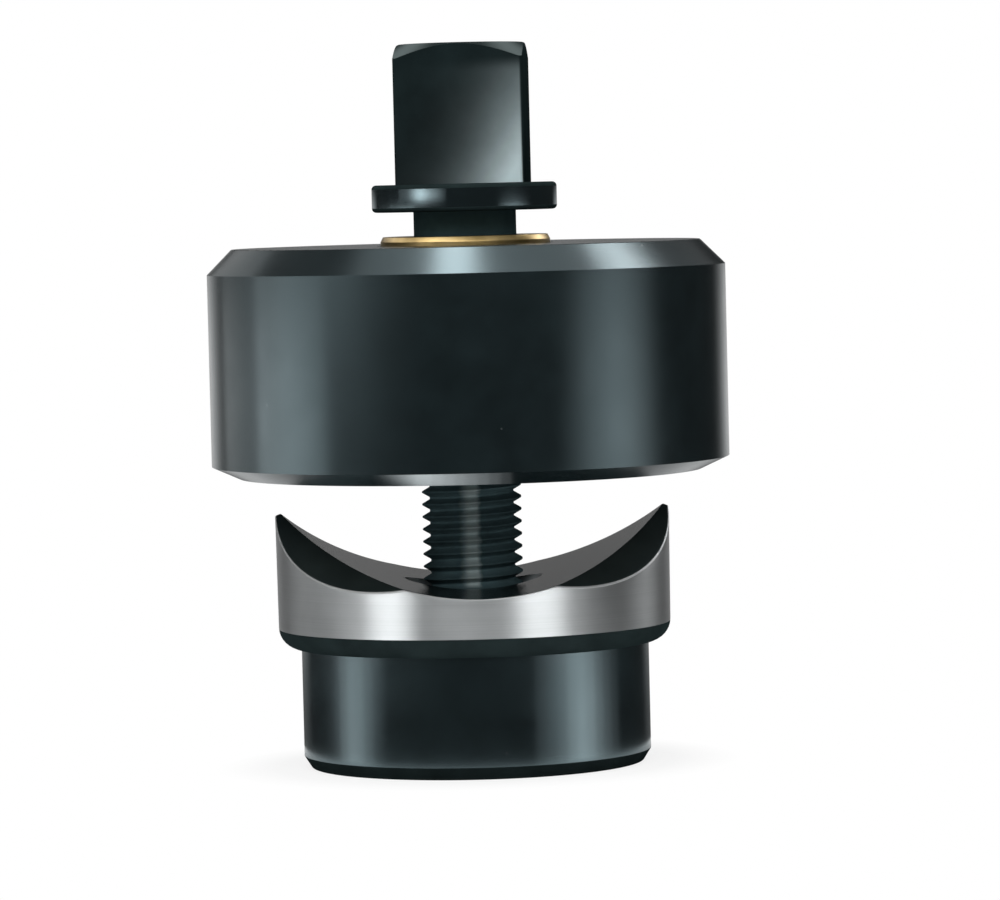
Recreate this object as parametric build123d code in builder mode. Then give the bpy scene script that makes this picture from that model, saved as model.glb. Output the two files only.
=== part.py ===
from build123d import *
import os
from math import cos, floor, radians, sin, sqrt, tan

os.makedirs("parts", exist_ok=True)

# A hand-turned knockout punch, in millimetres. The origin is the centre of the punch's
# base, +Z runs along the screw towards its head, and the two cutting tips lie on X.

# Punch, from its base up
body_diameter = 56.0
base_chamfer_width = 1.2
base_chamfer_height = 1.9
neck_height = 19.3
ring_edge_radius = 3.4
cut_diameter = 63.5
ring_relief = 0.15  # the cutting ring is this much smaller in radius at its lower edge
tip_height = 41.0
trough_radius = 44.8
trough_floor = 28.75
facet_tip_drop = 0.3  # each cutting ridge starts this far below the flat of its tip
facet_rise_inward = 0.40
facet_fall_outward = 0.625

# Draw screw
thread_diameter = 16.0
thread_pitch = 2.0
thread_depth = 0.61343 * thread_pitch
thread_crest = thread_pitch / 8
thread_angle = 60.0
thread_end_chamfer = 1.5
screw_end = 9.05
thread_past_die = 7.1  # the full thread ends this far inside the die
shank_diameter = 16.5
collar_gap = 3.95  # between the bearing and the collar, with the screw not yet tight
collar_diameter = 29.8
collar_height = 4.4
collar_edge_radius = 0.7
head_across_flats = 20.7
head_height = 22.45
head_corner_radius = 0.8
head_chamfer_angle = 29.0
head_turned_by = -5.7  # degrees about the axis, from the line of the tips

# Fits
thread_clearance = 0.1  # the punch's hole is plain, this much outside the thread's crest
cut_clearance = 0.15
shank_clearance = 0.35
race_clearance = 0.35
ball_clearance = 0.03
pocket_clearance = 0.1
countersink_width = 1.75  # past the thread's crest, at the hole's two mouths

# Die
die_diameter = 83.4
sheet_gap = 5.9  # between the punch's tips and the die's lower face
die_height = 36.8
die_top_chamfer = 4.0
die_edge_chamfer_width = 4.4
die_edge_chamfer_height = 2.0
cutting_land = 5.0
cavity_relief = 1.0
cavity_depth = 22.0
cavity_corner_radius = 2.5
bore_edge = 0.5
seat_edge = 0.35

# Thrust bearing under the collar
bearing_height = 9.0
bearing_proud = 1.4
race_diameter = 27.3
race_thickness = 2.8
race_edge_width = 0.4
race_edge_height = 0.8
ball_diameter = 4.0
ball_count = 12
cage_thickness = 1.8
cage_margin = 0.3

# Worked out from the sizes above
cut_radius = cut_diameter / 2
ring_lower_radius = cut_radius - ring_relief
body_radius = body_diameter / 2
thread_radius = thread_diameter / 2
thread_root_radius = thread_radius - thread_depth
thread_flank = thread_depth * tan(radians(thread_angle / 2))
shank_radius = shank_diameter / 2
collar_radius = collar_diameter / 2
die_radius = die_diameter / 2
die_bottom = tip_height + sheet_gap
die_top = die_bottom + die_height
thread_top = die_bottom + thread_past_die
land_radius = cut_radius + cut_clearance
cavity_radius = land_radius + cavity_relief
cavity_top = die_bottom + cavity_depth
hole_radius = shank_radius + shank_clearance
race_radius = race_diameter / 2
seat_radius = race_radius + race_clearance
bearing_top = die_top + bearing_proud
seat_floor = bearing_top - bearing_height
collar_bottom = bearing_top + collar_gap
collar_top = collar_bottom + collar_height
head_top = collar_top + head_height
ball_radius = ball_diameter / 2
ball_circle = (race_radius + hole_radius) / 2
ball_height = seat_floor + bearing_height / 2
groove_radius = ball_radius + ball_clearance
overrun = 1.0  # how far cutting shapes reach past the faces they cut


def on_circle(radius, angle):
    return (radius * cos(radians(angle)), radius * sin(radians(angle)))


def thread_outline(bottom, top):
    """The outer edge of the threaded length, from bottom to top: one groove to each pitch,
    with flat crests and roots, as rings and not as a helix."""
    points = []
    turns = floor((top - bottom) / thread_pitch)
    for turn in range(turns):
        crest_end = bottom + turn * thread_pitch + thread_crest
        root_start = crest_end + thread_flank
        root_end = bottom + (turn + 1) * thread_pitch - thread_flank
        points.append((thread_radius, crest_end))
        points.append((thread_root_radius, root_start))
        points.append((thread_root_radius, root_end))
        points.append((thread_radius, bottom + (turn + 1) * thread_pitch))
    return points


# Punch: the turned blank, then the trough and the four facets that leave two cutting ridges
facet_reach = 2 * cut_diameter
hole_mouth = thread_radius + countersink_width
tapped_radius = thread_radius + thread_clearance
countersink_depth = hole_mouth - tapped_radius
with BuildPart() as punch:
    with BuildSketch(Plane.XZ) as blank:
        with BuildLine():
            Polyline(
                (0, 0),
                (body_radius - base_chamfer_width, 0),
                (body_radius, base_chamfer_height),
                (body_radius, neck_height),
                (ring_lower_radius - ring_edge_radius, neck_height),
            )
            RadiusArc(
                (ring_lower_radius - ring_edge_radius, neck_height),
                (ring_lower_radius, neck_height + ring_edge_radius),
                -ring_edge_radius,
            )
            Polyline(
                (ring_lower_radius, neck_height + ring_edge_radius),
                (cut_radius, tip_height),
                (0, tip_height),
                (0, 0),
            )
        make_face()
    revolve(axis=Axis.Z)
    with BuildSketch(Plane.XZ) as trough:
        with Locations((0, trough_floor + trough_radius)):
            Circle(trough_radius)
    extrude(amount=cut_diameter, both=True, mode=Mode.SUBTRACT)
    for side_x in (-1, 1):
        for side_y in (-1, 1):
            facet_plane = Plane(
                origin=(side_x * cut_radius, 0, tip_height - facet_tip_drop),
                z_dir=(side_x * facet_rise_inward, side_y * facet_fall_outward, 1),
            )
            with BuildSketch(facet_plane) as facet:
                Rectangle(facet_reach, facet_reach)
            extrude(amount=cut_diameter, mode=Mode.SUBTRACT)
    with BuildSketch(Plane.XZ) as mouths:
        with BuildLine():
            Polyline(
                (0, -overrun),
                (hole_mouth + overrun, -overrun),
                (tapped_radius, countersink_depth),
                (tapped_radius, trough_floor - countersink_depth),
                (hole_mouth + 2 * overrun, trough_floor + 2 * overrun),
                (0, trough_floor + 2 * overrun),
                (0, -overrun),
            )
        make_face()
    revolve(axis=Axis.Z, mode=Mode.SUBTRACT)
punch.part.label = "punch"
export_step(punch.part, "parts/punch.step")

# Draw screw: thread, shank, collar and square head in one piece
head_corner_reach = sqrt(2) * (head_across_flats / 2 - head_corner_radius) + head_corner_radius
head_corner_drop = (head_corner_reach - head_across_flats / 2) * tan(radians(head_chamfer_angle))
with BuildPart() as screw:
    with BuildSketch(Plane.XZ) as turned:
        with BuildLine():
            Polyline(
                (0, screw_end),
                (thread_radius - thread_end_chamfer, screw_end),
                (thread_radius, screw_end + thread_end_chamfer),
                *thread_outline(screw_end + thread_end_chamfer, thread_top),
                (thread_radius, thread_top),
                (shank_radius, thread_top),
                (shank_radius, collar_bottom),
                (collar_radius - collar_edge_radius, collar_bottom),
            )
            RadiusArc(
                (collar_radius - collar_edge_radius, collar_bottom),
                (collar_radius, collar_bottom + collar_edge_radius),
                -collar_edge_radius,
            )
            Line(
                (collar_radius, collar_bottom + collar_edge_radius),
                (collar_radius, collar_top - collar_edge_radius),
            )
            RadiusArc(
                (collar_radius, collar_top - collar_edge_radius),
                (collar_radius - collar_edge_radius, collar_top),
                -collar_edge_radius,
            )
            Polyline(
                (collar_radius - collar_edge_radius, collar_top),
                (0, collar_top),
                (0, screw_end),
            )
        make_face()
    revolve(axis=Axis.Z)
    with BuildSketch(Plane.XY.offset(collar_top)) as square:
        RectangleRounded(
            head_across_flats, head_across_flats, head_corner_radius, rotation=head_turned_by
        )
    extrude(amount=head_height)
    with BuildSketch(Plane.XZ) as head_chamfer:
        with BuildLine():
            Polyline(
                (head_across_flats / 2, head_top),
                (head_corner_reach, head_top - head_corner_drop),
                (head_corner_reach + overrun, head_top - head_corner_drop),
                (head_corner_reach + overrun, head_top),
                (head_across_flats / 2, head_top),
            )
        make_face()
    revolve(axis=Axis.Z, mode=Mode.SUBTRACT)
screw.part.label = "screw"
export_step(screw.part, "parts/screw.step")

# Die: a ring with the cutting bore below, the bearing's seat above and the screw's hole between
with BuildPart() as die:
    with BuildSketch(Plane.XZ) as wall:
        with BuildLine():
            Polyline(
                (land_radius, die_bottom),
                (die_radius - die_edge_chamfer_width, die_bottom),
                (die_radius, die_bottom + die_edge_chamfer_height),
                (die_radius, die_top - die_top_chamfer),
                (die_radius - die_top_chamfer, die_top),
                (seat_radius + seat_edge, die_top),
                (seat_radius, die_top - seat_edge),
                (seat_radius, seat_floor),
                (hole_radius, seat_floor),
                (hole_radius, cavity_top + bore_edge),
                (hole_radius + bore_edge, cavity_top),
                (cavity_radius - cavity_corner_radius, cavity_top),
            )
            RadiusArc(
                (cavity_radius - cavity_corner_radius, cavity_top),
                (cavity_radius, cavity_top - cavity_corner_radius),
                cavity_corner_radius,
            )
            Polyline(
                (cavity_radius, cavity_top - cavity_corner_radius),
                (cavity_radius, die_bottom + cutting_land + cavity_relief),
                (land_radius, die_bottom + cutting_land),
                (land_radius, die_bottom),
            )
        make_face()
    revolve(axis=Axis.Z)
die.part.label = "die"
export_step(die.part, "parts/die.step")

# Thrust bearing: two grooved races, twelve balls and the cage that spaces them
upper_race_bottom = bearing_top - race_thickness
lower_race_top = seat_floor + race_thickness
with BuildPart() as bearing_upper_race:
    with BuildSketch(Plane.XZ) as upper_section:
        with BuildLine():
            Polyline(
                (hole_radius, upper_race_bottom),
                (race_radius, upper_race_bottom),
                (race_radius, bearing_top - race_edge_height),
                (race_radius - race_edge_width, bearing_top),
                (hole_radius + race_edge_width, bearing_top),
                (hole_radius, bearing_top - race_edge_width),
                (hole_radius, upper_race_bottom),
            )
        make_face()
        with Locations((ball_circle, ball_height)):
            Circle(groove_radius, mode=Mode.SUBTRACT)
    revolve(axis=Axis.Z)
bearing_upper_race.part.label = "bearing_upper_race"
export_step(bearing_upper_race.part, "parts/bearing_upper_race.step")

with BuildPart() as bearing_lower_race:
    with BuildSketch(Plane.XZ) as lower_section:
        with BuildLine():
            Polyline(
                (hole_radius, seat_floor),
                (race_radius - race_edge_width, seat_floor),
                (race_radius, seat_floor + race_edge_width),
                (race_radius, lower_race_top),
                (hole_radius, lower_race_top),
                (hole_radius, seat_floor),
            )
        make_face()
        with Locations((ball_circle, ball_height)):
            Circle(groove_radius, mode=Mode.SUBTRACT)
    revolve(axis=Axis.Z)
bearing_lower_race.part.label = "bearing_lower_race"
export_step(bearing_lower_race.part, "parts/bearing_lower_race.step")

with BuildPart() as bearing_cage:
    with BuildSketch(Plane.XY.offset(ball_height - cage_thickness / 2)) as cage_plan:
        Circle(race_radius - cage_margin)
        Circle(hole_radius + cage_margin, mode=Mode.SUBTRACT)
        with PolarLocations(ball_circle, ball_count):
            Circle(ball_radius + pocket_clearance, mode=Mode.SUBTRACT)
    extrude(amount=cage_thickness)
bearing_cage.part.label = "bearing_cage"
export_step(bearing_cage.part, "parts/bearing_cage.step")

for number in range(ball_count):
    ball_x, ball_y = on_circle(ball_circle, 360 * number / ball_count)
    name = f"ball_{number + 1:02d}"
    with BuildPart() as ball:
        with Locations((ball_x, ball_y, ball_height)):
            Sphere(ball_radius)
    ball.part.label = name
    export_step(ball.part, f"parts/{name}.step")
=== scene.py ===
from math import atan2, ceil, cos, hypot, pi, radians, sin, sqrt, tan

import bmesh
import bpy
from mathutils import Matrix, Vector


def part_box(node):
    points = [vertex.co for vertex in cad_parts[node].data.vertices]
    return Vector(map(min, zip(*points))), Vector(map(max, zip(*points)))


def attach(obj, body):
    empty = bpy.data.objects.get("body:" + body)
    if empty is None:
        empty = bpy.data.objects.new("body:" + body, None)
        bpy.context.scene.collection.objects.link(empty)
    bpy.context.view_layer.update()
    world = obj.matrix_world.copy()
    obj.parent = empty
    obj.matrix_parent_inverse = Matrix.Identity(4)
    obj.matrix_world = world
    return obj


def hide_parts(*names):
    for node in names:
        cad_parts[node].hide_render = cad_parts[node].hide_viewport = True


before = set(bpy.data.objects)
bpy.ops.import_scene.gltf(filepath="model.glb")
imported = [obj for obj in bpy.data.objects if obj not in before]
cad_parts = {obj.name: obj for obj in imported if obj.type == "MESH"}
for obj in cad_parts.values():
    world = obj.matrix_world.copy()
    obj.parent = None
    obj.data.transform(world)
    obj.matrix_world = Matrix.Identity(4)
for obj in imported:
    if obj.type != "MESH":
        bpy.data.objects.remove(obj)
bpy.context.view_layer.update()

# Sizes are in millimetres, as in the CAD model, and become metres as each mesh is made. The
# lights, the floor and the camera are placed in metres.
MM = 0.001

# Sizes read from the CAD model
die_low, die_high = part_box("die")
screw_low, screw_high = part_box("screw")
race_low, race_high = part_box("bearing_upper_race")
die_bottom = die_low.z / MM
die_top = die_high.z / MM
screw_end = screw_low.z / MM
head_top = screw_high.z / MM
race_bottom = race_low.z / MM
race_top = race_high.z / MM

# Punch
body_radius = 28.0
base_chamfer_width = 1.2
base_chamfer_height = 1.9
neck_height = 19.3
ring_edge_radius = 3.4
cut_radius = 31.75
ring_relief = 0.15
tip_height = 41.0
trough_radius = 44.8
trough_floor = 28.75
facet_tip_height = 40.7
facet_rise_inward = 0.40
facet_fall_outward = 0.625
hole_radius = 8.1
hole_mouth = 9.75
rim_edge = 0.2

# Draw screw
thread_radius = 8.0
thread_pitch = 2.0
thread_depth = 0.61343 * thread_pitch
thread_flank_angle = 30.0
thread_end_chamfer = 1.5
thread_top = 54.0
thread_turned_by = 195.6
shank_radius = 8.25
collar_radius = 14.9
collar_bottom = 89.05
collar_top = 93.45
collar_edge_radius = 0.7
head_half = 10.35
head_corner_radius = 0.8
head_crown_inset = 0.3
head_chamfer_angle = 29.0
head_turned_by = -5.7
rod_overlap = 1.0
head_overlap = 0.5

# Die
die_radius = 41.7
die_top_chamfer = 4.0
die_edge_chamfer_width = 4.4
die_edge_chamfer_height = 2.0
land_radius = 31.9
land_height = 5.0
cavity_relief = 1.0
cavity_top = 68.9
cavity_corner_radius = 2.5
seat_radius = 14.0
seat_floor = 76.1
seat_edge = 0.35
screw_hole_radius = 8.6
bore_edge = 0.5

# Bearing
race_radius = 13.65
race_edge_width = 0.4
race_edge_height = 0.8
ball_circle = 11.125
ball_height = 80.6
groove_radius = 2.03

# Edge roundings that only the visual model has
fine_edge = 0.1
small_edge = 0.15
cavity_edge = 0.2
die_bottom_edge = 0.25
die_top_edge = 0.35
race_bore_edge = 0.3
thread_root_edge = 0.18
head_edge = 0.45
base_upper_edge = 0.4
base_lower_edge = 0.3

# Mesh steps
ARC_STEPS = 4
LATHE_COLUMNS = 288
DIE_COLUMNS = 360
THREAD_COLUMNS = 96
SPARE_TURNS = 3
GROOVE_POINTS = 9
HEAD_FLAT_POINTS = 25
HEAD_CORNER_POINTS = 13
PUNCH_STEP = radians(0.5)
TROUGH_POINTS = 34
FACET_POINTS = 12
WALL_POINTS = 9
FILLET_POINTS = 10
FLOOR_CORNERS = 128
HALVINGS = 50
MERGE_DISTANCE = 2e-6

thread_root_radius = thread_radius - thread_depth
cavity_radius = land_radius + cavity_relief
head_height = head_top - collar_top
ring_lower_radius = cut_radius - ring_relief
wall_bottom = neck_height + ring_edge_radius


# Meshes
def new_object(name, vertices, faces, kinds=None):
    """A closed mesh from millimetre points, its doubled points merged and its faces turned
    outwards. kinds gives each face's material number."""
    mesh = bpy.data.meshes.new(name)
    mesh.from_pydata([(x * MM, y * MM, z * MM) for x, y, z in vertices], [], faces)
    if kinds:
        mesh.polygons.foreach_set("material_index", kinds)
    work = bmesh.new()
    work.from_mesh(mesh)
    bmesh.ops.remove_doubles(work, verts=work.verts, dist=MERGE_DISTANCE)
    bmesh.ops.dissolve_degenerate(work, edges=work.edges, dist=MERGE_DISTANCE)
    bmesh.ops.recalc_face_normals(work, faces=work.faces)
    work.to_mesh(mesh)
    work.free()
    mesh.update()
    made = bpy.data.objects.new(name, mesh)
    bpy.context.collection.objects.link(made)
    return made


def finish_surface(made, sharp_above=40.0):
    """Smooth shading that keeps flats flat, with hard edges only above an angle in degrees."""
    mesh = made.data
    mesh.shade_smooth()
    mesh.set_sharp_from_angle(angle=radians(sharp_above))
    weighted = made.modifiers.new("weighted", "WEIGHTED_NORMAL")
    weighted.keep_sharp = True
    weighted.weight = 60


def spread(start, end, count):
    """count values from start to end, both of them in."""
    return [start + (end - start) * i / (count - 1) for i in range(count)]


def softened(corners):
    """An outline from (radius, height, rounding) corners, each rounded corner as a short arc that
    takes up less than half of the sides next to it."""
    points = []
    count = len(corners)
    for i, (r, z, rounding) in enumerate(corners):
        if not rounding:
            points.append((r, z))
            continue
        before = Vector(corners[i - 1][:2]) - Vector((r, z))
        after = Vector(corners[(i + 1) % count][:2]) - Vector((r, z))
        half = before.angle(after) / 2
        reach = min(rounding / tan(half), 0.45 * before.length, 0.45 * after.length)
        radius = reach * tan(half)
        middle = (before.normalized() + after.normalized()).normalized() * (radius / sin(half))
        centre_r = r + middle.x
        centre_z = z + middle.y
        start = before.normalized() * reach - middle
        end = after.normalized() * reach - middle
        first = atan2(start.y, start.x)
        turn = (atan2(end.y, end.x) - first + pi) % (2 * pi) - pi
        for step in range(ARC_STEPS + 1):
            angle = first + turn * step / ARC_STEPS
            points.append((centre_r + radius * cos(angle), centre_z + radius * sin(angle)))
    return points


def ring_faces(columns, rows, closed):
    """Quads round the axis between columns of points. A closed column's end joins its start."""
    faces = []
    for s in range(columns):
        following = (s + 1) % columns
        for i in range(rows if closed else rows - 1):
            j = (i + 1) % rows
            faces.append((s * rows + i, following * rows + i, following * rows + j, s * rows + j))
    return faces


def turned(corners, columns, closed):
    """Points and faces of an outline turned round the axis. An outline that isn't closed starts
    and ends on the axis."""
    outline = softened(corners)
    vertices = []
    for s in range(columns):
        angle = 2 * pi * s / columns
        vertices.extend((r * cos(angle), r * sin(angle), z) for r, z in outline)
    return vertices, ring_faces(columns, len(outline), closed)


def lathe(name, corners, columns=LATHE_COLUMNS):
    """A ring turned from a closed outline that stays clear of the axis."""
    made = new_object(name, *turned(corners, columns, True))
    finish_surface(made)
    return made


def joined(*shells):
    """Points and faces of several closed shells as one mesh."""
    vertices = []
    faces = []
    for shell_vertices, shell_faces in shells:
        base = len(vertices)
        vertices.extend(shell_vertices)
        faces.extend(tuple(i + base for i in face) for face in shell_faces)
    return vertices, faces


def use(made, node, slot, body, *materials):
    """Shows a mesh in place of a CAD node, on that node's body and with its finish."""
    for material in materials:
        made.data.materials.append(material)
    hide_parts(node)
    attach(made, body)


# Material nodes
def nodes_for(name):
    material = bpy.data.materials.new(name)
    material.use_nodes = True
    tree = material.node_tree
    surface = tree.nodes["Principled BSDF"]
    return material, tree, surface


def value_node(tree, operation, *operands):
    """A Math node; each operand is a number or another node's output."""
    node = tree.nodes.new("ShaderNodeMath")
    node.operation = operation
    for socket, operand in zip(node.inputs, operands):
        if isinstance(operand, (int, float)):
            socket.default_value = operand
        else:
            tree.links.new(operand, socket)
    return node.outputs[0]


def chained(tree, operation, first, *others):
    """One operation over several values in turn."""
    result = first
    for other in others:
        result = value_node(tree, operation, result, other)
    return result


def between(tree, value, start, end, low, high):
    """A smooth step from low at start to high at end."""
    node = tree.nodes.new("ShaderNodeMapRange")
    node.interpolation_type = "SMOOTHSTEP"
    for name, number in (("From Min", start), ("From Max", end), ("To Min", low), ("To Max", high)):
        node.inputs[name].default_value = number
    tree.links.new(value, node.inputs["Value"])
    return node.outputs["Result"]


def noise(tree, coordinates, scale, detail=3.0, roughness=0.55):
    """Noise from 0 to 1 with scale cells to a metre."""
    node = tree.nodes.new("ShaderNodeTexNoise")
    node.inputs["Scale"].default_value = scale
    node.inputs["Detail"].default_value = detail
    node.inputs["Roughness"].default_value = roughness
    tree.links.new(coordinates, node.inputs["Vector"])
    return node.outputs["Fac"]


def ramp(tree, factor, stops):
    """A colour ramp of (position, grey or colour) stops."""
    node = tree.nodes.new("ShaderNodeValToRGB")
    tree.links.new(factor, node.inputs["Fac"])
    elements = node.color_ramp.elements
    while len(elements) < len(stops):
        elements.new(0.5)
    for element, (position, colour) in zip(elements, stops):
        element.position = position
        shade = (colour, colour, colour) if isinstance(colour, (int, float)) else colour
        element.color = (*shade, 1.0)
    return node.outputs["Color"]


def scaled(colour, factor):
    return tuple(channel * factor for channel in colour)


def mix_colours(tree, factor, first, second):
    """A mix from first at factor 0 to second at factor 1; each is a colour or an output."""
    node = tree.nodes.new("ShaderNodeMix")
    node.data_type = "RGBA"
    tree.links.new(factor, node.inputs["Factor"])
    for socket, colour in ((node.inputs["A"], first), (node.inputs["B"], second)):
        if isinstance(colour, tuple):
            socket.default_value = (*colour, 1.0)
        else:
            tree.links.new(colour, socket)
    return node.outputs["Result"]


def multiply_colours(tree, first, second):
    node = tree.nodes.new("ShaderNodeMix")
    node.data_type = "RGBA"
    node.blend_type = "MULTIPLY"
    node.inputs["Factor"].default_value = 1.0
    tree.links.new(first, node.inputs["A"])
    tree.links.new(second, node.inputs["B"])
    return node.outputs["Result"]


def object_coordinates(tree):
    return tree.nodes.new("ShaderNodeTexCoord").outputs["Object"]


def split_coordinates(tree):
    """The object's X, Y and Z in metres, as three outputs."""
    split = tree.nodes.new("ShaderNodeSeparateXYZ")
    tree.links.new(object_coordinates(tree), split.inputs[0])
    return split.outputs


def from_axis(tree, place):
    """The distance from the axis, in metres."""
    x_squared = value_node(tree, "MULTIPLY", place["X"], place["X"])
    y_squared = value_node(tree, "MULTIPLY", place["Y"], place["Y"])
    return value_node(tree, "SQRT", value_node(tree, "ADD", x_squared, y_squared))


def turned_coordinates(tree):
    """Coordinates that change only along the height and the radius, so a noise on them
    makes rings round the axis."""
    place = split_coordinates(tree)
    combined = tree.nodes.new("ShaderNodeCombineXYZ")
    tree.links.new(from_axis(tree, place), combined.inputs["X"])
    tree.links.new(place["Z"], combined.inputs["Z"])
    return combined.outputs[0]


def turned_lines(tree, surface, amount):
    """Highlights that spread across lines turned round the axis."""
    node = tree.nodes.new("ShaderNodeTangent")
    node.direction_type = "RADIAL"
    node.axis = "Z"
    tree.links.new(node.outputs[0], surface.inputs["Tangent"])
    surface.inputs["Anisotropic"].default_value = amount
    surface.inputs["Anisotropic Rotation"].default_value = 0.25


def bump(tree, surface, layers):
    """Chains bump nodes: each layer is (height output, distance in millimetres)."""
    normal = None
    for height, distance in layers:
        node = tree.nodes.new("ShaderNodeBump")
        node.inputs["Strength"].default_value = 1.0
        node.inputs["Distance"].default_value = distance * MM
        tree.links.new(height, node.inputs["Height"])
        if normal:
            tree.links.new(normal, node.inputs["Normal"])
        normal = node.outputs[0]
    tree.links.new(normal, surface.inputs["Normal"])


def set_roughness(tree, surface, varying, middle, range_of_it):
    """Roughness that a noise from 0 to 1 varies about its middle."""
    rough = value_node(tree, "MULTIPLY_ADD", varying, range_of_it, middle - range_of_it / 2)
    tree.links.new(rough, surface.inputs["Roughness"])


def base_colour(surface):
    """The output that feeds the base colour so far."""
    return surface.inputs["Base Color"].links[0].from_socket


# Finishes
OXIDE_COLOUR = (0.0045, 0.0085, 0.0095)
OXIDE_SHEEN = (0.70, 0.93, 1.0)
SPECK_COLOUR = (0.16, 0.17, 0.17)
HEAD_COLOUR = (0.0062, 0.0104, 0.0110)
# Painted highlight colour for two of the head's flats
HEAD_PAINTED_HIGHLIGHT = (0.80, 0.97, 1.0)
# Painted sheen colour for the corners of the head's cone
CROWN_PAINTED_SHEEN = (0.085, 0.105, 0.105)
THREAD_COLOUR = (0.077, 0.127, 0.139)
# Painted highlight colour for the streak down the thread's front
THREAD_PAINTED_HIGHLIGHT = (0.408, 0.492, 0.498)
RIM_COLOUR = (0.82, 0.84, 0.85)
# Painted shade colour for the rim towards its left tip
RIM_PAINTED_SHADE = (0.42, 0.43, 0.43)


def black_finish(name, roughness, colour=OXIDE_COLOUR, wear=0.5, index=1.85, turned_finish=False):
    """Blackened steel: a dark satin skin with a faint mottle, a fine grain and small pale specks.
    wear is how much the specks show. An index of 1 leaves out the glossy layer."""
    material, tree, surface = nodes_for(name)
    coordinates = object_coordinates(tree)
    mottle = noise(tree, coordinates, 160.0, 4.0)
    fine = noise(tree, coordinates, 2600.0, 2.0)
    specks = tree.nodes.new("ShaderNodeTexVoronoi")
    specks.inputs["Scale"].default_value = 330.0
    tree.links.new(coordinates, specks.inputs["Vector"])
    dots = ramp(tree, specks.outputs["Distance"], ((0.0, 1.0), (0.045, 1.0), (0.075, 0.0)))
    chosen = ramp(tree, noise(tree, coordinates, 95.0, 1.0), ((0.66, 0.0), (0.70, 1.0)))
    specked = chained(tree, "MULTIPLY", dots, chosen, wear)
    tint = ramp(tree, mottle, ((0.3, scaled(colour, 0.8)), (0.7, scaled(colour, 1.25))))
    tree.links.new(mix_colours(tree, specked, tint, SPECK_COLOUR), surface.inputs["Base Color"])
    surface.inputs["IOR"].default_value = index
    surface.inputs["Specular Tint"].default_value = (*OXIDE_SHEEN, 1.0)
    set_roughness(tree, surface, mottle, roughness, 0.06)
    layers = [(fine, 0.0011)]
    if turned_finish:
        lines = noise(tree, turned_coordinates(tree), 5200.0, 3.0, 0.7)
        layers.append((lines, 0.0010))
        turned_lines(tree, surface, 0.15)
    bump(tree, surface, layers)
    return material, tree, surface


def black_oxide(*settings, **more):
    return black_finish(*settings, **more)[0]


def ground_steel(name, colour, roughness, anisotropy=0.6, edge_tint=1.0):
    """Bare ground steel with fine lines round the axis and a faint stain."""
    material, tree, surface = nodes_for(name)
    coordinates = object_coordinates(tree)
    lines = noise(tree, turned_coordinates(tree), 7000.0, 4.0, 0.75)
    stain = noise(tree, coordinates, 110.0, 4.0)
    tint = ramp(tree, stain, ((0.25, scaled(colour, 0.86)), (0.75, colour)))
    streaks = ramp(tree, lines, ((0.3, 0.86), (0.7, 1.0)))
    tree.links.new(multiply_colours(tree, tint, streaks), surface.inputs["Base Color"])
    surface.inputs["Metallic"].default_value = 1.0
    surface.inputs["Specular Tint"].default_value = (edge_tint, edge_tint, edge_tint, 1.0)
    set_roughness(tree, surface, lines, roughness, 0.14)
    turned_lines(tree, surface, anisotropy)
    bump(tree, surface, [(lines, 0.0010), (noise(tree, coordinates, 1800.0), 0.0008)])
    return material


def brass_finish(name):
    """Turned brass with a thin lacquer and a faint tarnish."""
    material, tree, surface = nodes_for(name)
    coordinates = object_coordinates(tree)
    lines = noise(tree, turned_coordinates(tree), 6000.0, 4.0, 0.7)
    tarnish = noise(tree, coordinates, 240.0, 4.0)
    shades = ((0.3, (0.50, 0.34, 0.11)), (0.52, (0.66, 0.47, 0.18)), (0.8, (0.72, 0.54, 0.24)))
    tree.links.new(ramp(tree, tarnish, shades), surface.inputs["Base Color"])
    surface.inputs["Metallic"].default_value = 1.0
    set_roughness(tree, surface, lines, 0.33, 0.10)
    surface.inputs["Coat Weight"].default_value = 0.6
    surface.inputs["Coat Roughness"].default_value = 0.3
    surface.inputs["Coat IOR"].default_value = 1.8
    bump(tree, surface, [(lines, 0.0012), (noise(tree, coordinates, 1500.0), 0.001)])
    return material


def rim_with_painted_shade(name):
    """The ground rim along the punch's top edge, with painted shade towards its left tip."""
    material = ground_steel(name, RIM_COLOUR, 0.5, 0.0)
    tree = material.node_tree
    surface = tree.nodes["Principled BSDF"]
    # Painted shade towards the left tip
    left_painted_shade = between(tree, split_coordinates(tree)["X"], -12 * MM, 12 * MM, 1.0, 0.0)
    shade = mix_colours(tree, left_painted_shade, base_colour(surface), RIM_PAINTED_SHADE)
    tree.links.new(shade, surface.inputs["Base Color"])
    return material


def quarters_round_head(tree, place):
    """Quarter turns round the axis, a whole number at each corner of the head."""
    angle = value_node(tree, "ARCTAN2", place["Y"], place["X"])
    return value_node(tree, "MULTIPLY_ADD", angle, 2 / pi, 0.5 - head_turned_by / 90)


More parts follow.
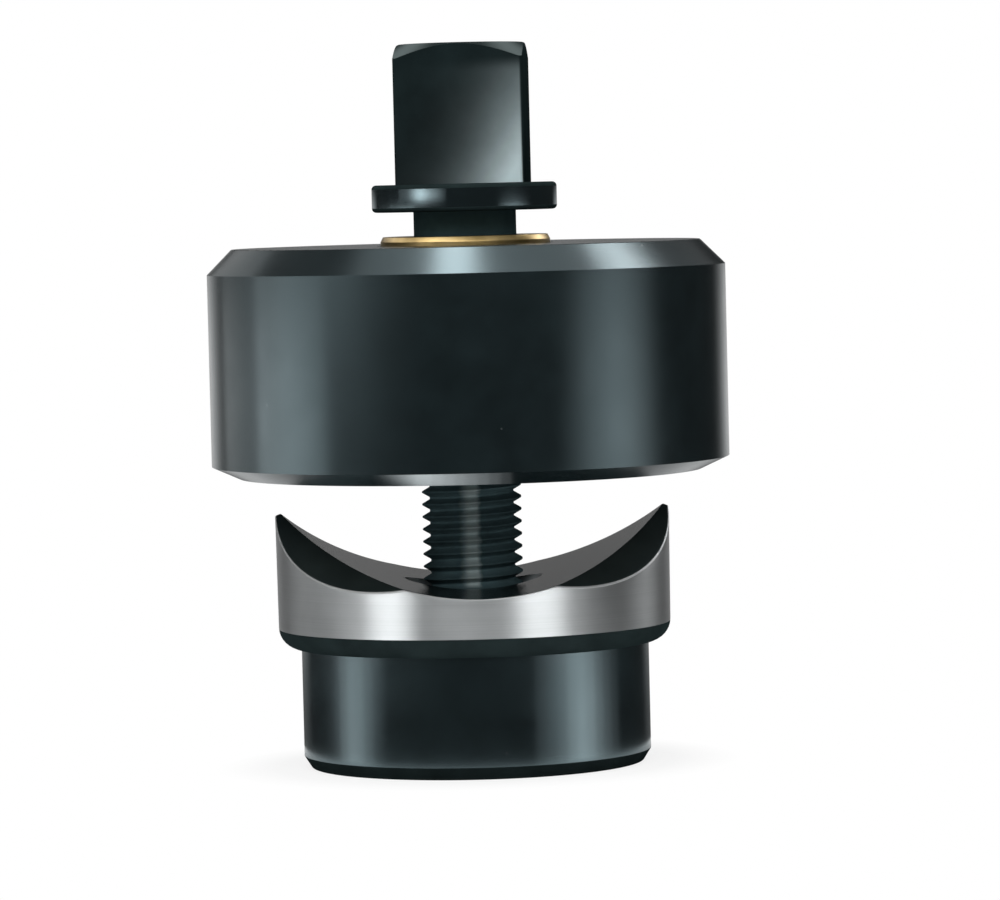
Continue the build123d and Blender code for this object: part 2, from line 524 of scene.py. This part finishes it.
def head_with_painted_highlight(name):
    """The square head: blackened, with a painted highlight, bright and metallic, on two opposite
    flats. It fades from each flat's lower right corner, across the flat and up the head."""
    material, tree, surface = black_finish(name, 0.33, HEAD_COLOUR, index=1.0)
    place = split_coordinates(tree)
    quarter = quarters_round_head(tree, place)
    across = value_node(tree, "FRACT", quarter)
    up_head = value_node(tree, "MULTIPLY_ADD", place["Z"], 1 / head_height / MM, -collar_top / head_height)

    # The painted highlight's logarithm at that corner, and its fall across the flat and up the head
    at_corner = 0.55
    fall_across = 5.4
    fall_up = 3.7
    fading = value_node(tree, "MULTIPLY_ADD", across, fall_across, at_corner - fall_across)
    fading = value_node(tree, "MULTIPLY_ADD", up_head, -fall_up, fading)
    half_turn = value_node(tree, "FRACT", value_node(tree, "MULTIPLY", quarter, 0.5))
    highlighted_flats = value_node(tree, "GREATER_THAN", half_turn, 0.5)
    below_crown = between(tree, up_head, 0.78, 0.90, 1.0, 0.05)
    before_corner = between(tree, across, 0.982, 1.0, 1.0, 0.0)
    cloud = value_node(tree, "MULTIPLY_ADD", noise(tree, object_coordinates(tree), 170.0), 0.5, 0.75)
    # The painted highlight on two flats, as a mask from 0 to 1
    painted_highlight = value_node(tree, "EXPONENT", fading)
    painted_highlight = chained(tree, "MULTIPLY", painted_highlight, highlighted_flats, below_crown, before_corner, cloud)
    painted_highlight = value_node(tree, "SMOOTH_MIN", painted_highlight, 0.98, 0.15)
    tree.links.new(painted_highlight, surface.inputs["Metallic"])
    shade = mix_colours(tree, painted_highlight, base_colour(surface), HEAD_PAINTED_HIGHLIGHT)
    tree.links.new(shade, surface.inputs["Base Color"])
    gloss = surface.inputs["Roughness"].links[0].from_socket
    tree.links.new(value_node(tree, "MULTIPLY_ADD", painted_highlight, 0.09, gloss), surface.inputs["Roughness"])
    return material


def crown_with_painted_sheen(name):
    """The cone turned on the head's top, with a painted sheen in grey at the four corners."""
    material, tree, surface = black_finish(name, 0.4, HEAD_COLOUR, index=1.0)
    across = value_node(tree, "FRACT", quarters_round_head(tree, split_coordinates(tree)))
    off_centre = value_node(tree, "ABSOLUTE", value_node(tree, "SUBTRACT", across, 0.5))
    # Painted sheen, lighter towards the four corners
    corner = between(tree, off_centre, 0.2, 0.49, 0.15, 1.0)
    shade = mix_colours(tree, corner, base_colour(surface), CROWN_PAINTED_SHEEN)
    tree.links.new(shade, surface.inputs["Base Color"])
    return material


def thread_with_painted_streak(name):
    """The thread: dull black, with painted shade on its crests and a long painted highlight down
    its front.
    """
    material, tree, surface = black_finish(name, 0.55, THREAD_COLOUR, wear=0.0, index=1.0)
    place = split_coordinates(tree)
    towards_front = value_node(tree, "MULTIPLY", place["Y"], -1.0)
    angle = value_node(tree, "ARCTAN2", place["X"], towards_front)
    ragged = noise(tree, object_coordinates(tree), 900.0, 2.0)
    angle = value_node(tree, "ADD", angle, value_node(tree, "MULTIPLY_ADD", ragged, 0.10, -0.05))
    # A painted highlight: a ragged streak down the thread's front
    rising = between(tree, angle, radians(-20), radians(-4), 0.0, 1.0)
    falling = between(tree, angle, radians(2), radians(10), 1.0, 0.0)
    above_foot = between(tree, place["Z"], 28.5 * MM, 29.3 * MM, 0.0, 1.0)
    streak = chained(tree, "MULTIPLY", rising, falling, above_foot)
    painted_streak_colour = mix_colours(tree, streak, base_colour(surface), THREAD_PAINTED_HIGHLIGHT)
    # Painted shade: the crests darker than the roots, against the light they catch
    radius = from_axis(tree, place)
    crests = between(tree, radius, thread_root_radius * MM, thread_radius * MM, 1.0, 0.72)
    tree.links.new(multiply_colours(tree, painted_streak_colour, crests), surface.inputs["Base Color"])
    return material


# Die
die = lathe(
    "die_ring",
    [
        (land_radius, die_bottom, small_edge),
        (die_radius - die_edge_chamfer_width, die_bottom, die_bottom_edge),
        (die_radius, die_bottom + die_edge_chamfer_height, 0.0),
        (die_radius, die_top - die_top_chamfer, 0.0),
        (die_radius - die_top_chamfer, die_top, die_top_edge),
        (seat_radius + seat_edge, die_top, fine_edge),
        (seat_radius, die_top - seat_edge, fine_edge),
        (seat_radius, seat_floor, 0.0),
        (screw_hole_radius, seat_floor, fine_edge),
        (screw_hole_radius, cavity_top + bore_edge, fine_edge),
        (screw_hole_radius + bore_edge, cavity_top, fine_edge),
        (cavity_radius, cavity_top, cavity_corner_radius),
        (cavity_radius, die_bottom + land_height + cavity_relief, cavity_edge),
        (land_radius, die_bottom + land_height, cavity_edge),
    ],
    DIE_COLUMNS,
)
use(die, "die", "black_die", "die", black_oxide("die_black", 0.22, (0.0030, 0.0058, 0.0065)))


# Brass ring of the bearing
def groove_arc():
    """The ball groove's outline on the race's face, from its inner edge to its outer edge."""
    rise = race_bottom - ball_height
    half = sqrt(groove_radius**2 - rise**2)
    return [
        (ball_circle + groove_radius * cos(a), ball_height + groove_radius * sin(a), 0.0)
        for a in spread(atan2(rise, -half), atan2(rise, half), GROOVE_POINTS)
    ]


upper_race = lathe(
    "brass_ring",
    [
        (screw_hole_radius, race_top, race_bore_edge),
        (screw_hole_radius, race_bottom, fine_edge),
        *groove_arc(),
        (race_radius, race_bottom, fine_edge),
        (race_radius, race_top - race_edge_height, small_edge),
        (race_radius - race_edge_width, race_top, small_edge),
    ],
)
use(upper_race, "bearing_upper_race", "brass_race", "upper_race", brass_finish("ring_brass"))

# Bearing pieces inside the die keep their CAD meshes
hidden_finishes = {
    "bearing_lower_race": ground_steel("race_ground", (0.55, 0.56, 0.56), 0.25),
    "bearing_cage": brass_finish("cage_pressed"),
    "ball": ground_steel("ball_polished", (0.66, 0.67, 0.68), 0.12, 0.0),
}
for node_name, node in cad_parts.items():
    kind = "ball" if node_name.startswith("ball_") else node_name
    if kind in hidden_finishes:
        node.data.materials.clear()
        node.data.materials.append(hidden_finishes[kind])


# Draw screw
def thread_profile():
    """One pitch of the thread as (distance along the axis, radius), with a flat crest and root
    whose corners are rounded."""
    crest = thread_pitch / 8
    flank = thread_depth * tan(radians(thread_flank_angle))
    outline = [
        (thread_radius, 0.0, 0.0),
        (thread_radius, crest / 2, fine_edge),
        (thread_root_radius, crest / 2 + flank, thread_root_edge),
        (thread_root_radius, thread_pitch - crest / 2 - flank, thread_root_edge),
        (thread_radius, thread_pitch - crest / 2, fine_edge),
        (thread_radius, thread_pitch, 0.0),
    ]
    return [(z, r) for r, z in softened(outline)][:-1]


def threaded_rod():
    """The threaded length of the screw. Each column of points follows the right-hand helix past
    both ends by spare turns, and points past an end are drawn back to it."""
    profile = thread_profile()
    per_turn = len(profile)
    crest_at_zero = -thread_pitch * thread_turned_by / 360
    rod_top = thread_top + rod_overlap
    first_turn = int((screw_end - crest_at_zero) // thread_pitch) - SPARE_TURNS
    turns = int((rod_top - screw_end) // thread_pitch) + 1 + 2 * SPARE_TURNS
    rows = turns * per_turn
    vertices = []
    for column in range(THREAD_COLUMNS):
        angle = 2 * pi * column / THREAD_COLUMNS
        lead = crest_at_zero + thread_pitch * column / THREAD_COLUMNS
        for row in range(rows):
            along, radius = profile[row % per_turn]
            z = lead + thread_pitch * (first_turn + row // per_turn) + along
            if z >= rod_top:
                z = rod_top
                radius = thread_root_radius
            z = max(z, screw_end)
            radius = min(radius, thread_radius - thread_end_chamfer + z - screw_end)
            vertices.append((radius * cos(angle), radius * sin(angle), z))
    bottom = len(vertices)
    top = bottom + 1
    vertices.append((0, 0, screw_end))
    vertices.append((0, 0, rod_top))
    faces = []
    for column in range(THREAD_COLUMNS):
        following = (column + 1) % THREAD_COLUMNS
        ahead = per_turn if following == 0 else 0
        for row in range(rows - 1 - ahead):
            a = column * rows + row
            b = following * rows + row + ahead
            faces.append((a, b, b + 1, a + 1))
    for column in range(THREAD_COLUMNS):
        following = (column + 1) % THREAD_COLUMNS
        faces.append((bottom, following * rows, column * rows))
        faces.append((top, column * rows + rows - 1, following * rows + rows - 1))
    return vertices, faces


def square_head():
    """The head: a square bar with rounded corners, its top turned to a shallow cone."""
    crown_radius = head_half - head_crown_inset
    slope = tan(radians(head_chamfer_angle))
    flat_half = head_half - head_corner_radius
    plan = []
    for side in range(4):
        for along in spread(-flat_half, flat_half, HEAD_FLAT_POINTS)[:-1]:
            plan.append((head_half, along, side))
        for turn in spread(0, pi / 2, HEAD_CORNER_POINTS)[:-1]:
            x = flat_half + head_corner_radius * cos(turn)
            y = flat_half + head_corner_radius * sin(turn)
            plan.append((x, y, side))
    foot = collar_top - head_overlap
    vertices = []
    for x, y, side in plan:
        angle = atan2(y, x) + radians(90 * side + head_turned_by)
        radius = hypot(x, y)
        corners = [
            (0.0, foot, 0.0),
            (radius, foot, 0.0),
            (radius, head_top - (radius - crown_radius) * slope, head_edge),
            (crown_radius, head_top, head_edge),
            (0.0, head_top, 0.0),
        ]
        vertices.extend((r * cos(angle), r * sin(angle), z) for r, z in softened(corners))
    return vertices, ring_faces(len(plan), len(vertices) // len(plan), False)


shank_and_collar = turned(
    [
        (0.0, thread_top, 0.0),
        (shank_radius, thread_top, fine_edge),
        (shank_radius, collar_bottom, small_edge),
        (collar_radius, collar_bottom, collar_edge_radius),
        (collar_radius, collar_top, collar_edge_radius),
        (0.0, collar_top, 0.0),
    ],
    LATHE_COLUMNS,
    False,
)
screw = new_object("draw_screw", *joined(threaded_rod(), shank_and_collar, square_head()))
finish_surface(screw)

THREAD, SHANK, COLLAR, EDGE, HEAD, CROWN = range(6)
face_slack = 0.01
edge_band = collar_edge_radius + 0.05
crown_slopes = (0.5, 0.97)
for face in screw.data.polygons:
    height = face.center.z / MM
    if height < thread_top:
        face.material_index = THREAD
    elif height < collar_bottom - face_slack:
        face.material_index = SHANK
    elif height < collar_bottom + edge_band:
        face.material_index = EDGE
    elif height <= collar_top - edge_band:
        face.material_index = COLLAR
    elif height < collar_top + face_slack:
        face.material_index = EDGE
    elif crown_slopes[0] < face.normal.z < crown_slopes[1]:
        face.material_index = CROWN
    else:
        face.material_index = HEAD

use(
    screw,
    "screw",
    "black_screw",
    "screw",
    thread_with_painted_streak("thread_black"),
    black_oxide("shank_black", 0.5, (0.027, 0.049, 0.055), wear=0.0, index=1.0),
    black_oxide("collar_black", 0.10, wear=0.0, index=2.7),
    black_oxide("edge_black", 0.5, (0.014, 0.022, 0.0225), wear=0.0, index=1.0),
    head_with_painted_highlight("head_black"),
    crown_with_painted_sheen("crown_black"),
)


# Punch
def trough_height(x):
    return trough_floor + trough_radius - sqrt(trough_radius**2 - x**2)


def facet_height(x, y):
    inward = facet_rise_inward * (cut_radius - abs(x))
    return facet_tip_height + inward - facet_fall_outward * abs(y)


def top_height(radius, angle):
    x = radius * cos(angle)
    y = radius * sin(angle)
    return min(tip_height, trough_height(x), facet_height(x, y))


def crossing(gap, low, high):
    """Where gap, positive at low and negative at high, passes zero."""
    for _ in range(HALVINGS):
        middle = (low + high) / 2
        if gap(middle) > 0:
            low = middle
        else:
            high = middle
    return low


def facet_over_trough(radius, angle):
    x = radius * cos(angle)
    return facet_height(x, radius * sin(angle)) - trough_height(x)


def crease_radius(angle):
    """Where the trough ends and the black facet starts, along one direction from the axis."""
    if facet_over_trough(cut_radius, angle) >= 0:
        return cut_radius
    return crossing(lambda r: facet_over_trough(r, angle), hole_mouth, cut_radius)


def mouth_radius(angle):
    """Where the hole's countersink meets the trough, along one direction from the axis."""

    def countersink_over_trough(r):
        return trough_height(r * cos(angle)) - trough_floor + hole_mouth - r

    return crossing(countersink_over_trough, hole_mouth - 1, hole_mouth + 3)


def wall_radius(height):
    """The cutting ring's radius, which narrows slightly from the tips down."""
    return ring_lower_radius + ring_relief * (height - wall_bottom) / (tip_height - wall_bottom)


def fillet_point(turn):
    """A point on the ring's rounded lower edge, turn degrees down from its wall."""
    centre = ring_lower_radius - ring_edge_radius
    radius = centre + ring_edge_radius * cos(radians(turn))
    return radius, wall_bottom - ring_edge_radius * sin(radians(turn))


TROUGH, FACET, RIM, RING, NECK, BODY, HOLE = range(7)


def punch_column(angle):
    """One column of the punch, from the hole's upper mouth over the top, down the ring and the
    body, and up the hole again: (radius, height) points and the kind of each face after them."""
    rim = cut_radius - rim_edge
    crease = min(crease_radius(angle), rim)
    points = []
    kinds = []

    def add(kind, *new_points):
        points.extend(new_points)
        kinds.extend([kind] * len(new_points))

    inner = mouth_radius(angle)
    add(TROUGH, *((r, top_height(r, angle)) for r in spread(inner, crease, TROUGH_POINTS)[:-1]))
    add(FACET, *((r, top_height(r, angle)) for r in spread(crease, rim, FACET_POINTS)[:-1]))
    shoulder = top_height(rim, angle)
    edge = top_height(cut_radius, angle)

    # The rim's rounded edge is a quadratic curve from the top to the wall
    for t in (0.0, 0.33, 0.67):
        u = 1 - t
        radius = u * u * rim + (1 - u * u) * cut_radius
        add(RIM, (radius, u * u * shoulder + 2 * u * t * edge + t * t * (edge - rim_edge)))

    heights = spread(edge - rim_edge, wall_bottom, WALL_POINTS)[:-1]
    add(RING, (cut_radius, heights[0]))
    add(RING, *((wall_radius(height), height) for height in heights[1:]))
    add(RING, fillet_point(0))
    add(NECK, *(fillet_point(turn) for turn in spread(4, 90, FILLET_POINTS)))
    lower = softened(
        [
            (body_radius, neck_height, 0.0),
            (body_radius, base_chamfer_height, base_upper_edge),
            (body_radius - base_chamfer_width, 0.0, base_lower_edge),
            (hole_mouth, 0.0, small_edge),
            (hole_radius, hole_mouth - hole_radius, small_edge),
            (hole_radius, trough_floor - hole_mouth + hole_radius, 0.0),
        ]
    )
    chamfer_band = base_chamfer_height + 0.2
    for r, z in lower[:-3]:
        add(BODY if z > chamfer_band else NECK, (r, z))
    add(HOLE, *lower[-3:])
    return points, kinds


kink = crossing(lambda a: -facet_over_trough(cut_radius, a), 0.0, pi / 2)
marks = [0.0, kink, pi - kink, pi, pi + kink, 2 * pi - kink, 2 * pi]
column_angles = []
for first, last in zip(marks, marks[1:]):
    column_angles += spread(first, last, ceil((last - first) / PUNCH_STEP) + 1)[:-1]

punch_vertices = []
punch_kinds = []
for angle in column_angles:
    points, kinds = punch_column(angle)
    punch_vertices.extend((r * cos(angle), r * sin(angle), z) for r, z in points)
    punch_kinds.extend(kinds)
punch_faces = ring_faces(len(column_angles), len(kinds), True)
punch = new_object("two_tipped_punch", punch_vertices, punch_faces, punch_kinds)
finish_surface(punch, sharp_above=28.0)
use(
    punch,
    "punch",
    "punch_steel",
    "punch",
    ground_steel("trough_ground", (0.135, 0.145, 0.145), 0.24, 0.0, 0.8),
    black_oxide("facet_black", 0.3, (0.009, 0.012, 0.011)),
    rim_with_painted_shade("rim_ground"),
    ground_steel("ring_ground", (0.54, 0.562, 0.57), 0.45, 0.95),
    black_oxide("neck_black", 0.4, (0.0095, 0.0145, 0.0150), wear=0.0, index=1.0),
    black_oxide("punch_black", 0.17, index=2.5),
    black_oxide("hole_black", 0.35, turned_finish=True),
)


# Lights
def direction(azimuth, elevation):
    """A unit vector: azimuth 0 is the front, towards -Y, and a positive azimuth turns to +X."""
    a = radians(azimuth)
    e = radians(elevation)
    return Vector((sin(a) * cos(e), -cos(a) * cos(e), sin(e)))


def lamp(name, azimuth, elevation, width, height, radiance, target=(0, 0, 0.05), distance=1.0):
    """A soft panel facing the object, its angles in degrees and its lengths in metres; radiance 1
    shows as white in a mirror."""
    data = bpy.data.lights.new(name, "AREA")
    data.shape = "RECTANGLE"
    data.size = width
    data.size_y = height
    data.energy = radiance * pi * width * height
    made = bpy.data.objects.new(name, data)
    made.location = Vector(target) + direction(azimuth, elevation) * distance
    made.rotation_euler = (Vector(target) - made.location).to_track_quat("-Z", "Y").to_euler()
    made.visible_camera = False
    bpy.context.collection.objects.link(made)


def card(name, azimuth, half_width, band, radiance):
    """An upright lit card: half_width in degrees, and the heights of its lower and upper edge in
    millimetres above the floor."""
    low, high = band
    width = 2 * tan(radians(half_width))
    lamp(name, azimuth, 0, width, (high - low) * MM, radiance, (0, 0, (low + high) / 2 * MM))


def card_row(name, azimuth, pitch, band, radiances):
    """Narrow cards side by side, which make one wide card with soft edges. The azimuth is the
    first one's, and the next ones follow pitch degrees apart."""
    for step, radiance in enumerate(radiances):
        card(f"{name}_{step}", azimuth + pitch * step, pitch / 2, band, radiance)


# Cards that show in the die's wall, in the punch's body and in the collar
DIE_BAND = (-20, 51)
BODY_BAND = (-130, -62)
COLLAR_BAND = (83, 123)
card_row("left_card", -104, 5, DIE_BAND, (3.0, 3.0, 3.3, 3.75, 3.85, 3.6, 3.2, 2.4, 0.4))
card("left_far_card", -121, 17, (-20, 60), 1.0)
card_row("right_card", 42, 4, DIE_BAND, (0.5, 1.0, 1.8, 2.3, 2.7, 3.3, 3.2, 2.8, 2.2, 1.6, 0.9, 0.3))
card_row("left_low_card", -115, 7.5, BODY_BAND, (0.05, 0.2, 0.8, 1.4, 1.25, 0.6, 0.1))
card_row("right_low_card", 40.5, 7.5, BODY_BAND, (0.3, 0.5, 0.85, 1.6, 2.1, 1.75, 1.0, 0.5, 0.2))
collar_rise = (0.2, 0.25, 0.3, 0.4, 0.6, 1.1, 1.8, 2.7, 3.5, 3.9)
collar_fall = (3.6, 3.0, 2.3, 1.8, 1.4, 1.1, 0.8, 0.5, 0.25)
card_row("collar_card", -89.25, 3.5, COLLAR_BAND, collar_rise + collar_fall)

# Lamps above, for the top chamfer and the head
lamp("back_left", -155, 22, 0.35, 0.35, 0.4)
lamp("overhead_strip", 0, 90, 0.16, 0.6, 8.5, (-0.045, 0, 0.05))
lamp("overhead_skirt", 0, 90, 1.0, 0.6, 0.75, (0.05, 0, 0.05))
lamp("high_strip", 118, 50, 0.16, 0.35, 7.0)
lamp("left_key", -57, 37, 0.36, 0.34, 3.0)
lamp("right_key", 38, 37, 0.28, 0.34, 1.0)

# Lamps below the floor's level, for the cutting ring and the die's lower chamfer
lamp("left_under_key", -58, -36, 0.42, 0.34, 12.0)
lamp("right_under_key", 41, -36, 0.42, 0.34, 13.0)
lamp("left_under_shoulder", -84, -36, 0.34, 0.34, 2.5)
lamp("right_under_shoulder", 62, -36, 0.26, 0.34, 2.2)
lamp("right_under_fill", 130, -30, 0.9, 0.34, 0.8)
lamp("left_under_fill", -140, -30, 0.6, 0.34, 1.6)

# Lamps for the brass ring
lamp("brass_fill", -45, 48, 1.2, 0.35, 1.2)
lamp("brass_left_fill", -115, 30, 0.9, 0.3, 1.0)
lamp("brass_right_fill", 128, 22, 0.4, 0.25, 3.0)

# Small cards in front of the gap, for the middle of the die's lower chamfer. Each next one is
# wider, dimmer and a little further to the right.
for step in range(8):
    middle = (-0.0094 + 0.0005 * step, -0.040, 0.048)
    width = 0.003 * (step + 1)
    radiance = 0.46 - 0.03 * step
    lamp(f"gap_card_{step}", 180, -46, width, 0.005, radiance, middle, 0.016 + 0.0001 * step)

# Soft light from the front
lamp("front_fill", 0, 28, 1.0, 0.30, 3.8)
lamp("head_fill", -12, 25, 0.06, 0.03, 2.5, (0, -0.010, 0.105), 0.12)


def in_mirrors(tree, path):
    """1 for rays that come by way of a reflection or through glass."""
    return value_node(tree, "MAXIMUM", path.outputs["Is Glossy Ray"], path.outputs["Is Transmission Ray"])


# Floor
floor_radius = 0.046
floor_height = -0.00002
shadow_radius = 0.032
shadow_fade_end = 0.92 * floor_radius
white_in_shadow = 0.80
dark_mirror_radius = 0.038


def floor_finish():
    """Pale card whose shadow shows near the object and which fades to white at its rim."""
    material = bpy.data.materials.new("floor_card")
    material.use_nodes = True
    tree = material.node_tree
    tree.nodes.clear()
    output = tree.nodes.new("ShaderNodeOutputMaterial")
    pale = tree.nodes.new("ShaderNodeBsdfDiffuse")
    pale.inputs["Color"].default_value = (0.9, 0.9, 0.9, 1)
    white = tree.nodes.new("ShaderNodeEmission")
    white.inputs["Color"].default_value = (1, 1, 1, 1)
    white.inputs["Strength"].default_value = 1.0
    path = tree.nodes.new("ShaderNodeLightPath")
    length = tree.nodes.new("ShaderNodeVectorMath")
    length.operation = "LENGTH"
    tree.links.new(object_coordinates(tree), length.inputs[0])
    fade = tree.nodes.new("ShaderNodeMapRange")
    fade.inputs["From Min"].default_value = shadow_radius
    fade.inputs["From Max"].default_value = shadow_fade_end
    fade.inputs["To Min"].default_value = white_in_shadow
    fade.inputs["To Max"].default_value = 1.0
    tree.links.new(length.outputs["Value"], fade.inputs["Value"])
    near = tree.nodes.new("ShaderNodeMapRange")
    near.inputs["From Min"].default_value = dark_mirror_radius
    near.inputs["From Max"].default_value = floor_radius
    tree.links.new(length.outputs["Value"], near.inputs["Value"])
    for_camera = value_node(tree, "MULTIPLY", path.outputs["Is Camera Ray"], fade.outputs["Result"])
    for_mirrors = value_node(tree, "MULTIPLY", in_mirrors(tree, path), near.outputs["Result"])
    mix = tree.nodes.new("ShaderNodeMixShader")
    tree.links.new(value_node(tree, "MAXIMUM", for_camera, for_mirrors), mix.inputs["Fac"])
    tree.links.new(pale.outputs[0], mix.inputs[1])
    tree.links.new(white.outputs[0], mix.inputs[2])
    tree.links.new(mix.outputs[0], output.inputs["Surface"])
    return material


floor_vertices = [
    (floor_radius * cos(a), floor_radius * sin(a), floor_height)
    for a in spread(0, 2 * pi, FLOOR_CORNERS + 1)[:-1]
]
floor_mesh = bpy.data.meshes.new("floor")
floor_mesh.from_pydata(floor_vertices, [], [tuple(range(FLOOR_CORNERS))])
floor = bpy.data.objects.new("floor", floor_mesh)
bpy.context.collection.objects.link(floor)
floor.data.materials.append(floor_finish())


# World
ambient_everywhere = 0.03
ambient_on_surfaces = 0.38


def studio_world():
    """White to the camera, white behind the object in reflections, and dim otherwise."""
    world = bpy.data.worlds.new("studio")
    world.use_nodes = True
    tree = world.node_tree
    path = tree.nodes.new("ShaderNodeLightPath")
    split = tree.nodes.new("ShaderNodeSeparateXYZ")
    tree.links.new(tree.nodes.new("ShaderNodeTexCoord").outputs["Generated"], split.inputs[0])

    def by_elevation(start, end, low, high):
        """A smooth step from low to high between two elevations in degrees."""
        return between(tree, split.outputs["Z"], sin(radians(start)), sin(radians(end)), low, high)

    def behind(start, end):
        """A smooth step from 0 at start degrees off straight behind to 1 at end degrees off it."""
        return between(tree, split.outputs["Y"], cos(radians(start)), cos(radians(end)), 0.0, 1.0)

    wide = behind(42, 15)
    under = by_elevation(-5.5, -2.5, 0.12, 1.0)
    over = by_elevation(-1.8, 0.5, 1.0, 0.25)
    top = by_elevation(0, 0.5, 1.0, 0.05)
    horizon = chained(tree, "MULTIPLY", wide, under, over, top)
    ground = value_node(tree, "MULTIPLY", wide, by_elevation(-10, -16, 0.0, 1.0))
    above_head = by_elevation(1.6, 2.2, 0.0, 0.5)
    below_sky = by_elevation(6, 8.5, 1.0, 0.0)
    backdrop = chained(tree, "MULTIPLY", behind(13, 7), above_head, below_sky)
    sky = by_elevation(13, 20, 0.0, 0.14)
    mirrored = chained(tree, "MAXIMUM", horizon, ground, backdrop, sky)
    mirrored = value_node(tree, "MULTIPLY", in_mirrors(tree, path), mirrored)
    diffuse = path.outputs["Is Diffuse Ray"]
    ambient = value_node(tree, "MULTIPLY_ADD", diffuse, ambient_on_surfaces, ambient_everywhere)
    strength = chained(tree, "MAXIMUM", mirrored, path.outputs["Is Camera Ray"], ambient)
    background = tree.nodes["Background"]
    background.inputs["Color"].default_value = (1, 1, 1, 1)
    tree.links.new(strength, background.inputs["Strength"])
    return world


bpy.context.scene.world = studio_world()

# Camera. Its lens is set for the distance, so that the object fills the frame as it should.
aim = Vector((0, 0, 0.0505))
camera_distance = 0.88
lens_per_metre = 223.3
camera_roll = radians(1.4)
camera_shift_right = 0.00476
towards = direction(-2.4, 2.8)
camera_data = bpy.data.cameras.new("camera")
camera_data.sensor_width = 36
camera_data.lens = lens_per_metre * camera_distance
camera = bpy.data.objects.new("camera", camera_data)
bpy.context.collection.objects.link(camera)
right = Vector((0, 0, 1)).cross(towards).normalized()
up = towards.cross(right).normalized()
rolled_up = cos(camera_roll) * up + sin(camera_roll) * right
rolled_right = cos(camera_roll) * right - sin(camera_roll) * up
facing = Matrix((rolled_right, rolled_up, towards)).transposed().to_4x4()
eye = aim + camera_distance * towards + camera_shift_right * rolled_right
camera.matrix_world = Matrix.Translation(eye) @ facing
bpy.context.scene.camera = camera
bpy.context.scene.view_settings.view_transform = "Standard"

bpy.context.view_layer.update()
